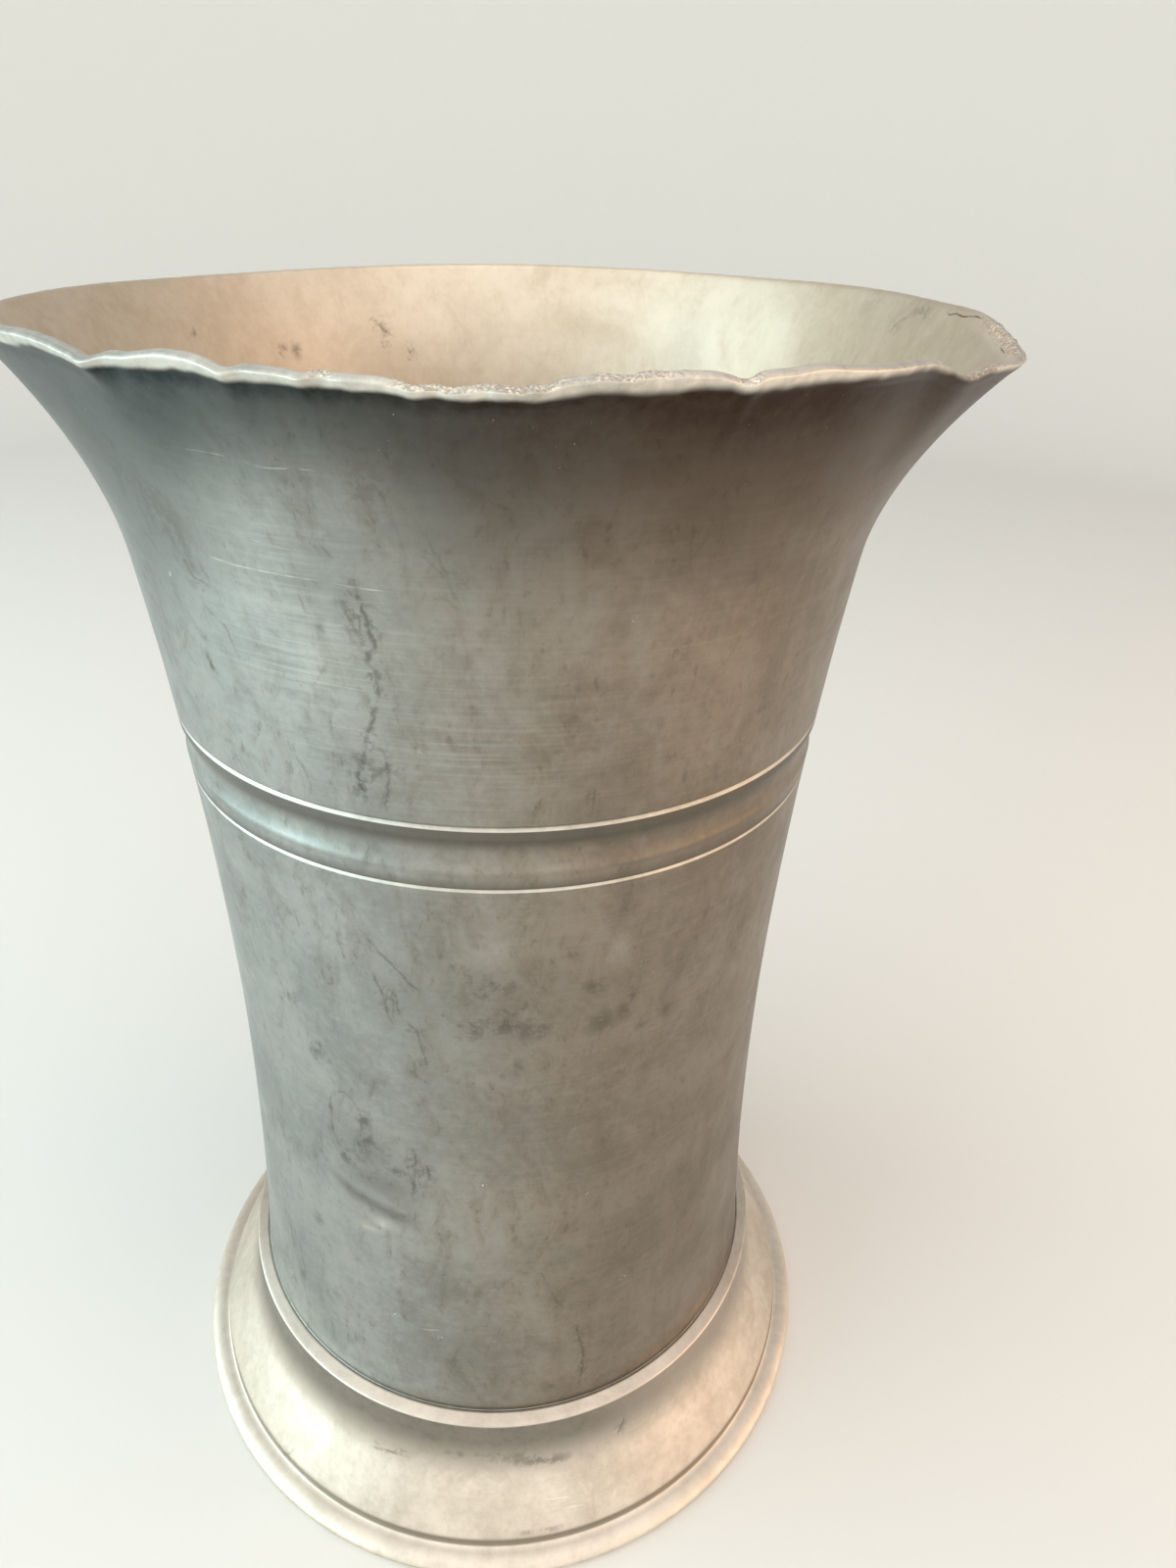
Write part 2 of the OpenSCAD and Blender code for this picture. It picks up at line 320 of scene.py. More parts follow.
    # Stains, grime and painted shade break up along the noises, so their edges are ragged
    rough = add(tree, "ShaderNodeMath", {0: speck, 1: cloud}, operation="ADD")
    rough = add(tree, "ShaderNodeMath", {0: rough, 1: -1.0}, operation="ADD")
    stainEdge = add(tree, "ShaderNodeMath", {0: rough, 1: 2.2, 2: named["stain"]}, operation="MULTIPLY_ADD")
    stainEdge = add(tree, "ShaderNodeMapRange", {0: stainEdge, 1: 0.1, 2: 0.6},
                    interpolation_type="SMOOTHSTEP")
    stainMask = add(tree, "ShaderNodeMath", {0: named["stain"], 1: 1.6}, operation="MULTIPLY", use_clamp=True)
    stainMask = add(tree, "ShaderNodeMath", {0: stainMask, 1: stainEdge}, operation="MULTIPLY")
    grimeAndShadeEdge = add(tree, "ShaderNodeMath", {0: rough, 1: 0.5, 2: 1.0}, operation="MULTIPLY_ADD")
    grimeAndShadeMask = add(tree, "ShaderNodeMath", {0: grimeAndShadeEdge, 1: named["grimeAndShade"]},
                    operation="MULTIPLY", use_clamp=True)
    # A vein is a thin wandering line in a band of specks
    wander = add(tree, "ShaderNodeMath", {0: patch, 1: 3.6, 2: named["veinSide"]}, operation="MULTIPLY_ADD")
    wander = add(tree, "ShaderNodeMath", {0: grain, 1: 2.6, 2: wander}, operation="MULTIPLY_ADD")
    wander = add(tree, "ShaderNodeMath", {0: wander, 1: -3.1}, operation="ADD")
    wander = add(tree, "ShaderNodeMath", {0: wander}, operation="ABSOLUTE")
    core = add(tree, "ShaderNodeMapRange", {0: wander, 1: 1.6, 2: 0.2}, interpolation_type="SMOOTHSTEP")
    wear = add(tree, "ShaderNodeMapRange", {0: speck, 1: 0.38, 2: 0.56, 3: 0.05, 4: 0.85})
    core = add(tree, "ShaderNodeMath", {0: core, 1: wear}, operation="MULTIPLY")
    band = add(tree, "ShaderNodeMapRange", {0: speck, 1: 0.48, 2: 0.62, 4: 0.5},
               interpolation_type="SMOOTHSTEP")
    core = add(tree, "ShaderNodeMath", {0: core, 1: band}, operation="MAXIMUM")
    veinMask = add(tree, "ShaderNodeMath", {0: core, 1: named["vein"]}, operation="MULTIPLY", use_clamp=True)
    # Rubbed spots, nicks and scratches down to bright metal
    paleEdge = add(tree, "ShaderNodeMath", {0: rough, 1: 1.2, 2: 1.0}, operation="MULTIPLY_ADD")
    paleMask = add(tree, "ShaderNodeMath", {0: paleEdge, 1: named["pale"]},
                   operation="MULTIPLY", use_clamp=True)
    nickMask = add(tree, "ShaderNodeMath", {0: named["nick"], 1: 0.4, 2: grit}, operation="MULTIPLY_ADD")
    nickMask = add(tree, "ShaderNodeMapRange", {0: nickMask, 1: 0.76, 2: 0.86},
                   interpolation_type="SMOOTHSTEP")
    worn = add(tree, "ShaderNodeMapRange", {0: patch, 1: 0.35, 2: 0.6})
    lines = {}
    for key in ("scratch", "crack"):
        aside = add(tree, "ShaderNodeMath", {0: grain, 1: 0.8, 2: named[key + "Side"]},
                    operation="MULTIPLY_ADD")
        aside = add(tree, "ShaderNodeMath", {0: aside, 1: -0.4}, operation="ADD")
        aside = add(tree, "ShaderNodeMath", {0: aside}, operation="ABSOLUTE")
        line = add(tree, "ShaderNodeMapRange", {0: aside, 1: 1.0, 2: 0.3}, interpolation_type="SMOOTHSTEP")
        line = add(tree, "ShaderNodeMath", {0: line, 1: worn}, operation="MULTIPLY")
        lines[key] = add(tree, "ShaderNodeMath", {0: line, 1: named[key]},
                         operation="MULTIPLY", use_clamp=True)
    # Worn edges and bright incised lines, partly painted highlight, with patina left in places; torn metal
    # that is brown, with bright specks that are partly painted glints
    rimEdge = add(tree, "ShaderNodeMath", {0: rough, 1: 0.9, 2: 0.95}, operation="MULTIPLY_ADD")
    rimMask = add(tree, "ShaderNodeMath", {0: rimEdge, 1: named["rim"]}, operation="MULTIPLY", use_clamp=True)
    tornMask = add(tree, "ShaderNodeMapRange", {0: grit, 1: 0.46, 2: 0.64, 4: 0.6},
                   interpolation_type="SMOOTHSTEP")
    tornMask = add(tree, "ShaderNodeMath", {0: tornMask, 1: named["grit"]}, operation="MULTIPLY")
    spark = add(tree, "ShaderNodeMapRange", {0: grit, 1: 0.42, 2: 0.33}, interpolation_type="SMOOTHSTEP")
    spark = add(tree, "ShaderNodeMath", {0: spark, 1: named["grit"]}, operation="MULTIPLY")
    # Shade under the lip, cold on the window side and brown on the other, broken up as the stains are
    duskEdge = add(tree, "ShaderNodeMath", {0: rough, 1: 0.4, 2: 1.0}, operation="MULTIPLY_ADD")
    duskMask = add(tree, "ShaderNodeMath", {0: duskEdge, 1: named["underlipShade"]},
                   operation="MULTIPLY", use_clamp=True)
    cold, deep = hexLinear(look["cold"]), hexLinear(look["deep"])
    dusk = add(tree, "ShaderNodeMix", {0: named["brownAndWarmLight"], 6: cold, 7: deep}, data_type="RGBA").outputs[2]
    layers = (
        (streak, look["shine"]), (blotchMask, look["grimeAndShade"]), (fleckMask, look["grimeAndShade"]), (duskMask, dusk),
        (stainMask, look["grimeAndShade"]), (grimeAndShadeMask, look["grimeAndShade"]), (rimMask, look["edge"]),
        (veinMask, look["vein"]), (paleMask, look["bright"]), (nickMask, look["bright"]),
        (tornMask, look["torn"]), (spark, look["spark"]), (lines["crack"], look["deep"]),
        (lines["scratch"], look["bright"]),
    )
    for mask, tint in layers:
        tint = hexLinear(tint) if isinstance(tint, str) else tint
        colour = add(tree, "ShaderNodeMix", {0: mask, 6: colour, 7: tint}, data_type="RGBA").outputs[2]
    tree.links.new(colour, shader.inputs["Base Color"])
    gloss = add(tree, "ShaderNodeMapRange",
                {0: cloud, 1: 0.3, 2: 0.7, 3: look["roughHigh"], 4: look["roughLow"]})
    gloss = add(tree, "ShaderNodeMath", {0: stainMask, 1: 0.12, 2: gloss}, operation="MULTIPLY_ADD")
    gloss = add(tree, "ShaderNodeMath", {0: rimMask, 1: 0.16, 2: gloss}, operation="MULTIPLY_ADD")
    tree.links.new(gloss.outputs[0], shader.inputs["Roughness"])
    relief = add(tree, "ShaderNodeMath", {0: rings, 1: look["ringDeep"]}, operation="MULTIPLY")
    relief = add(tree, "ShaderNodeMath", {0: grain, 1: look["grainDeep"], 2: relief},
                 operation="MULTIPLY_ADD")
    relief = add(tree, "ShaderNodeMath", {0: veinMask, 1: -0.4, 2: relief}, operation="MULTIPLY_ADD")
    relief = add(tree, "ShaderNodeMath", {0: tornMask, 1: -2.0, 2: relief}, operation="MULTIPLY_ADD")
    bump = add(tree, "ShaderNodeBump", {"Height": relief, "Strength": 1.0, "Distance": look["reliefMm"] * mm})
    tree.links.new(bump.outputs[0], shader.inputs["Normal"])
    return material


# Dark patina outside, where hands and cloths have not kept it bright, made darker still as a painted dark
# reflection, and browner away from the window as painted warm light.
# The tool rings of about 0.2 mm are drawn at 0.35 mm so that they show.
# cold and deep colour the painted shade under the lip, cool on the window side and warm on the other; deep
# also colours cracks.
wallLook = dict(
    shade="#8e918e", body="#a6a9a6", shine="#bdc0bb", brownAndWarmLight="#dfcbba", deep="#382b23", cold="#2b3536",
    grimeAndShade="#5d5952", vein="#514f49", bright="#d8d8cf", edge="#dedad0", torn="#a88f76", spark="#ffecd4",
    cloudMm=15, ringMm=0.35, ringRun=14, grainMm=0.6, patchMm=1.9, gritMm=0.28, blotchMm=3.6, fleckMm=0.8,
    speckMm=1.4, blotchShow=0.25, fleckShow=0.4, ringShow=0.05, ringGloss=0.4, roughLow=0.36, roughHigh=0.46,
    ringDeep=0.15, grainDeep=0.2, reliefMm=0.03)
# Inside the metal is rubbed lighter and warmer by drink and washing.
insideLook = dict(
    wallLook, shade="#d3c5b1", body="#e0d4c2", shine="#e9e1d3", brownAndWarmLight="#f2e8dc", deep="#4f4439",
    grimeAndShade="#8a7a66", vein="#6d6257", edge="#dccfc2", blotchShow=0.1, fleckShow=0.06, ringGloss=0.2,
    roughLow=0.54, roughHigh=0.64)
# The foot is polished by the cloths it stands on: pale and creamy, darker in the cove with grime and painted
# shade.
footLook = dict(
    wallLook, shade="#cabfb1", body="#e1d6c9", shine="#ece3d6", brownAndWarmLight="#efe2d6", deep="#5d5850",
    grimeAndShade="#78746d", vein="#5b5750", edge="#ece3d5", bright="#f6eee2", blotchShow=0.1, fleckShow=0.08,
    ringShow=0.1, ringGloss=0.3, roughLow=0.4, roughHigh=0.5, cloudMm=9)
# The floor was turned from the middle outwards and has gone dull.
floorLook = dict(
    wallLook, shade="#8d8981", body="#a5a199", shine="#c0bcb2", ringMm=0.9, ringRun=60, ringShow=0.3,
    ringDeep=0.4, roughLow=0.42, roughHigh=0.55)
# Soft solder is paler and smoother than the castings.
solderLook = dict(
    wallLook, shade="#b9b8b2", body="#cccbc5", shine="#dedcd6", fleckShow=0.1, blotchShow=0.1,
    roughLow=0.34, roughHigh=0.45)
wallPewter = pewter("pewter, turned, dark patina and painted light", wallLook)
insidePewter = pewter("pewter, turned, rubbed inside", insideLook)
footPewter = pewter("pewter, cast and polished, grime in hollows", footLook)
floorPewter = pewter("pewter, turned, dull", floorLook)
softSolder = pewter("soft solder, wiped", solderLook)
print("materials made")

# Girdle and joints, shared by the pieces that meet there
joint = dict(jointZ=121.9, girdleH=7.7, lineW=0.6, lineD=0.3, hollowD=0.45, upperFillet=1, lowerFillet=1.8,
             lapH=5, drumT=2, mouthT=2.3, solderT=0.2, footH=22.2, socketH=8.7, ledgeW=2, seatStep=0.15,
             floorT=2, flangeW=2, flangeT=1.5, filletLeg=1.5, solderSegments=256)
jointZ, solderT, footH = joint["jointZ"], joint["solderT"], joint["footH"]
lapTop = jointZ + joint["lapH"]
lapR = wallR(jointZ) - joint["drumT"] / 2 - solderT / 2
lapSocketR = lapR + solderT
lapInnerR = wallR(lapTop + solderT) - joint["mouthT"]
lineRootR = wallR(jointZ) - joint["lineD"]
mouthBottom = jointZ + solderT
lowLineZ = jointZ - joint["girdleH"]
halfLine = joint["lineW"] / 2
socketZ = footH - joint["socketH"]
drumBottom = socketZ + solderT
spigotR = wallR(footH) - joint["seatStep"]
boreR = spigotR + solderT
shoulderR = boreR - joint["ledgeW"]
cupR = wallR(footH) - joint["drumT"]
floorLow = drumBottom + joint["flangeT"]
floorTop = floorLow + joint["floorT"]
floorR = cupR - solderT

# Painted warm light: the side away from the window is browner; its share at the left, at the right, and the
# angles between
warmLightSide = (0, 1, 236, 290)

# Mouth: dents are angle, half width in degrees, push outwards and lift, the first three making the spout;
# creases are the same, with the push on the left of the angle and drawn back on the right; torn stretches are
# angle and half width; noises are size in mm, knots round the lip and seed. Four numbers change across the
# front, and heights named H are measured down from the rim.
mouth = dict(
    rimT=1.3, rimFall=0.4, segments=720,
    skin=0.4,  # how far in from the wall's curve a point still counts as outside
    markR=42,  # radius at which marks are laid out
    settle=(1, 8),  # heights over the joint between which the unevenness sets in
    capEnds=(8, 172), capSteps=21, capOuter=14, wallStep=0.8, lipStep=0.12,
    dentZ=143, dentPower=1.6, creaseH=4, creaseGain=2.3,
    raggedH=(1.6, 0.2), raggedPlain=0.2, raggedTorn=1,
    raggedOut=[(0.08, 90, 7), (0.1, 200, 3)], raggedUp=[(0.12, 150, 5), (0.1, 480, 6)],
    roll=0.26, rollH=1.9, rollPlain=0.7, rollNoise=[(0.5, 44, 11)],
    bandH=1.3, narrowDent=10, bandLift=0.4, bandNoise=[(0.2, 70, 8), (0.08, 300, 9)], bandLimits=(0.5, 1.4),
    bandFade=0.3, bandSoft=(0.12, 0.52, 262, 290), bandBare=(0.8, 0.95, 246, 272),
    spoutWear=0.9, spoutAt=338, spoutHalf=(9, 16), tornH=(1.1, 0.6), tornOverH=0.5,
    shadow=0.95, shadowGap=0.2, shadowReach=(1.9, 6.9, 272, 296),
    shade=0.85, shadeZ=140, shadeTop=164, shadeLifts=[(251, 12, 12.5), (218, 12, -12)],
    dents=[
        (337.5, 10.8, 4.6, -2), (324, 5.4, 0.2, -1.8), (351, 8, 1.5, 0.4), (196, 18, 2.8, -1),
        (231.8, 6.2, 0.5, -0.75), (240, 4, -0.3, 0.25), (247, 2, 0.1, -0.4), (254.4, 5.4, 0.1, -0.3),
        (265.3, 5, 0.3, -0.8), (272.8, 2.6, 0.1, -0.45), (285.6, 7.9, 0, 0.4), (290.3, 1.7, 0.2, -0.45),
        (299, 4.5, -0.2, 0.4), (10, 30, 0, 0.9), (145, 45, 0, -1.5),
    ],
    creases=[
        (233, 1.8, 0.4, -0.2), (247.5, 1.2, 0.25, -0.1), (254.6, 1.2, 0.3, -0.12), (263.8, 1.3, 0.3, -0.1),
        (269.2, 1, -0.25, 0.06), (290.8, 1, -0.25, 0.08),
    ],
    torn=[(255.3, 1), (264.5, 3.5), (271, 4.5), (281, 4), (291, 1.5), (327, 4), (342, 8)],
)
mouthMarks = dict(
    vein=[
        (0.8, 0.3, [(253.1, 147.9), (253.6, 145.5), (254.4, 143.2), (254.6, 141.6), (253.9, 140.2),
                    (253.6, 139.1), (254.5, 138.4), (254.7, 137.2), (254.1, 135.4), (253.1, 133.2),
                    (251.7, 131.1), (251.3, 129.4), (250.3, 127.1), (250.3, 125.1), (251, 123.5)]),
        (0.6, 0.22, [(251.1, 145.5), (251.6, 144.1), (252.5, 142.8), (253.9, 141.8)]),
        (0.6, 0.22, [(252.2, 138.4), (253.3, 137.3), (254.1, 135.9)]),
        (0.65, 0.22, [(253.3, 131.6), (254.2, 129.8), (254.6, 127.6), (253.9, 124.7), (253.5, 122.9)]),
        (0.6, 0.22, [(248.7, 147.3), (249.1, 145.8)]), (0.6, 0.22, [(250.1, 150.7), (251.7, 148.8)]),
        (0.6, 0.18, [(227.8, 147.1), (229, 144.2), (232.7, 143.9)]),
        (0.9, 0.35, [(227.2, 138.4), (228, 136.9)]), (0.9, 0.35, [(226.4, 136.4), (228.2, 133.4)]),
        (0.5, 0.2, [(229, 141.8), (232.6, 140), (234.3, 136.2)]),
        (0.55, 0.18, [(239.8, 141.1), (242.4, 140)]), (0.55, 0.18, [(219.8, 147.7), (222.2, 145.8)]),
        (0.5, 0.18, [(282.1, 126.7), (282.2, 122.6)]), (0.5, 0.25, [(299.7, 153.1), (300.5, 155.2)]),
        (0.4, 0.2, [(262, 153), (263, 150.5), (265, 145.5)]),
        (0.5, 0.2, [(240, 128), (241.8, 126), (242, 122.8)]), (0.5, 0.2, [(226.8, 128.4), (229, 127)]),
    ],
    scratch=[
        (0.3, 0.1, [(237.3, 157.2), (245.7, 156.8), (252.7, 157)]),
        (0.5, 0.1, [(233.7, 147.1), (237.8, 146.8), (242.8, 146.8), (249.7, 146.9), (252.6, 146.7),
                    (258, 146.6)]),
        (0.2, 0.1, [(240.9, 149.7), (246.9, 149.4)]), (0.2, 0.1, [(242.6, 143.4), (249.4, 143.2)]),
        (0.2, 0.1, [(241.5, 139.3), (252, 139)]), (0.2, 0.1, [(244, 136.7), (254, 136.4)]),
    ],
    stain=[
        (253, 140, 2.6, 9, 0.3), (252, 127, 3, 4, 0.35), (256.5, 155, 2.5, 5, 0.3), (261, 158, 2.5, 3, 0.3),
        (228, 150, 4, 6, 0.35), (262, 150, 8, 6, 0.2), (300, 152, 2.5, 3, 0.3), (283, 124, 5, 3, 0.25),
    ],
    pale=[(246, 138, 9, 7, 0.12), (240, 152, 8, 5, 0.1)],
    nick=[
        (223.1, 143.3, 0.5, 0.5, 0.7), (255.9, 148.6, 0.45, 0.45, 0.7), (275.8, 145.4, 0.4, 0.4, 0.75),
        (285.5, 144.1, 0.4, 0.4, 0.6), (287, 142, 0.4, 0.4, 0.6),
    ],
    turned=[(246, 137, 10, 9, 0.35), (242, 151, 8, 6, 0.25), (262, 132, 9, 8, 0.2)],
)
# Inside: a few dark spots, a curved scratch by the spout and a hairline in the torn edge
mouthInsideMarks = dict(
    vein=[
        (0.75, 0.4, [(115.4, 158.6), (113.5, 156.8), (111.4, 154.8)]),
        (0.6, 0.28, [(10, 160.7), (9.2, 161.6), (6.2, 163.3)]),
        (0.45, 0.5, [(7, 163), (4.4, 163.8), (1, 163.9)]), (0.12, 0.2, [(97, 161), (97.4, 156), (97, 152)]),
    ],
    crack=[
        (0.9, 0.09, [(358.2, 164.3), (357.2, 163.9), (356, 164.2), (354.2, 164.1), (352, 164.5),
                     (350.4, 164.6)]),
        (0.9, 0.1, [(349.3, 164.5), (347.5, 164.2), (345.5, 164.1)]),
        (0.7, 0.09, [(343.5, 164.1), (340.5, 164.1)]),
    ],
    stain=[
        (133.4, 154.4, 0.9, 1.5, 0.48), (130.6, 154.4, 0.8, 1.2, 0.46), (109, 152.9, 2.2, 1.6, 0.46),
        (113, 153.6, 1.6, 1.4, 0.46), (150, 158, 0.9, 0.7, 0.38),
    ],
    pale=[(53.7, 155.4, 4, 4, 0.3)],
)
rimZ, rimT, rimFall = wall["rimZ"], mouth["rimT"], mouth["rimFall"]


def lipNoise(angle, noises):
    return sum(size * ringNoise(angle, knots, seed) for size, knots, seed in noises)


def tornShare(angle):
    share = np.zeros_like(angle)
    for middle, half in mouth["torn"]:
        share = np.maximum(share, np.exp(-(turnFrom(middle, angle) / half) ** 4))
    return share


def dentMouth(angle, r, z):
    share = np.maximum(0, (z - mouth["dentZ"]) / (rimZ - mouth["dentZ"])) ** mouth["dentPower"]
    push, lift = np.zeros_like(r), np.zeros_like(r)
    for middle, half, out, up in mouth["dents"]:
        near = np.exp(-(turnFrom(middle, angle) / half) ** 2)
        push += out * near
        lift += up * near
    lip = smoothStep(z, rimZ - mouth["creaseH"], rimZ)
    for middle, half, out, up in mouth["creases"]:
        gap = turnFrom(middle, angle) / half
        near = -mouth["creaseGain"] * gap * np.exp(-gap ** 2)
        push += out * near * lip
        lift += up * near * lip
    # The lip is ragged all round and most of all where it is torn
    ragged = mouth["raggedPlain"] + mouth["raggedTorn"] * tornShare(angle)
    ragged *= smoothStep(z, rimZ - mouth["raggedH"][0], rimZ - mouth["raggedH"][1])
    push = share * push + ragged * lipNoise(angle, mouth["raggedOut"])
    lift = share * lift + ragged * lipNoise(angle, mouth["raggedUp"])
    # Its worn edge is rolled slightly outwards
    roll = np.sin(math.pi * np.clip((rimZ - z) / mouth["rollH"], 0, 1)) * (r > wallR(z) - mouth["skin"])
    push += mouth["roll"] * roll * (mouth["rollPlain"] + lipNoise(angle, mouth["rollNoise"]))
    free = smoothStep(z, mouthBottom + mouth["settle"][0], mouthBottom + mouth["settle"][1])
    return r + push + free * unevenness(angle, z), z + lift


edgeZ = rimZ - rimT / 2
lean = wallR(rimZ) - wallR(rimZ - 1)
# The lip is worn round and falls outwards
capTurn = np.radians(np.linspace(*mouth["capEnds"], mouth["capSteps"]))
capZ = edgeZ + (rimT / 2 - rimFall / 2 * (1 + np.cos(capTurn))) * np.sin(capTurn)
capR = wallR(edgeZ) - rimT / 2 + rimT / 2 * np.cos(capTurn) + lean * (capZ - edgeZ)
cap, capOuter = np.column_stack([capR, capZ]), mouth["capOuter"]
mouthRuns = [
    (0, np.array([(lineRootR, mouthBottom), (wallR(mouthBottom + 0.08), mouthBottom + 0.08)])),
    (0, wallRun(mouthBottom + 0.25, rimZ - 3, mouth["wallStep"])),
    (0, wallRun(rimZ - 2.7, edgeZ, mouth["lipStep"])),
    (0, cap[:capOuter]),
    (1, cap[capOuter:]),
    (1, wallRun(edgeZ - 0.2, rimZ - 4, 0.3, rimT)),
    (1, wallRun(rimZ - 4.6, wall["lipZ"], 1.2, rimT)),
    (1, wallRun(wall["lipZ"] - 1, lapTop + solderT, 1.5, rimT, joint["mouthT"])),
    (1, eased([(lapInnerR + 0.3, lapTop + solderT), (lapSocketR, lapTop + solderT),
               (lapSocketR, mouthBottom)], 2)),
]
mouthPiece, angle, r, z = lathe("mouthCasting", mouthRuns, mouth["segments"], dentMouth)
mouthPiece.data.materials.append(wallPewter)
mouthPiece.data.materials.append(insidePewter)
outside = (r > wallR(z) - mouth["skin"]).astype(float)
paintMarks(mouthPiece, angle, z, mouth["markR"], [(outside, mouthMarks), (1 - outside, mouthInsideMarks)])
# Width of the pale worn band: broad where the lip stands up and narrow in its dents
lift = sum(up * np.exp(-(turnFrom(middle, angle) / half) ** 2)
           for middle, half, out, up in mouth["dents"] if half < mouth["narrowDent"])
bandShare = 1 + mouth["bandLift"] * lift + lipNoise(angle, mouth["bandNoise"])
bandZ = rimZ - mouth["bandH"] * np.clip(bandShare, *mouth["bandLimits"])
onCap = (z > edgeZ - 0.01) * (r > capR[capOuter] - 0.01)
spoutNear, spoutFar = mouth["spoutHalf"]
spoutWear = mouth["spoutWear"] * smoothStep(-np.abs(angle - mouth["spoutAt"]), -spoutFar, -spoutNear)
worn = np.clip(outside + onCap + spoutWear, 0, 1)
soft, bare = acrossFront(angle, *mouth["bandSoft"]), acrossFront(angle, *mouth["bandBare"])
paint(mouthPiece, "rim", smoothStep(z, bandZ - mouth["bandFade"], bandZ + soft) * worn * bare)
tornTop = smoothStep(z, rimZ - mouth["tornH"][0], rimZ - mouth["tornH"][1])
tornTop *= np.maximum(1 - outside, z > rimZ - mouth["tornOverH"])
paint(mouthPiece, "grit", tornTop * tornShare(angle))
# Shade under the lip: it starts higher left of the front, where the metal is rubbed, and lower beside that
shadowZ = bandZ - acrossFront(angle, *mouth["shadowReach"])
shadow = mouth["shadow"] * smoothStep(z, shadowZ, bandZ - mouth["shadowGap"])
shadeZ = mouth["shadeZ"] + sum(
    up * np.exp(-((angle - middle) / half) ** 2) for middle, half, up in mouth["shadeLifts"])
shade = mouth["shade"] * smoothStep(z, shadeZ, mouth["shadeTop"])
paint(mouthPiece, "underlipShade", (1 - (1 - shade) * (1 - shadow)) * outside)
# Painted warm light: the wall is browner away from the window
paint(mouthPiece, "brownAndWarmLight", acrossFront(angle, *warmLightSide) * outside)

# Drum: waisted wall, hollow girdle between two incised lines, spigots at both ends, a flange for the floor.
# Smears are strength, half width in mm and line; each grime and painted shade has the heights between which
# it fades.
drum = dict(
    segments=448, skin=0.6, markR=39, settle=(1, 9), lineShare=0.62, wallStep=0.8, lineStep=0.07,
    hollowSteps=16, lineBright=0.9, underShade=0.75, underFade=(2.3, 0.3), overShade=0.55,
    overFade=(0.3, 1.3), footGrime=0.2, footFade=1.2, rightShade=(0, 0.14, 272, 300), rightFade=(45, 80),
    smearEnd=3, smearEndShare=0.35,
    smears=[
        (0.6, 1.1, [(233.5, 62.6), (238.6, 60.9), (245.8, 59.8), (252.4, 58.7)]),
        (0.4, 2.1, [(237.5, 64), (242, 64.8), (246.5, 64.6), (251, 63.4)]),
        (0.24, 3.2, [(238.5, 74.5), (241.5, 70.5), (247, 68)]),
    ],
)
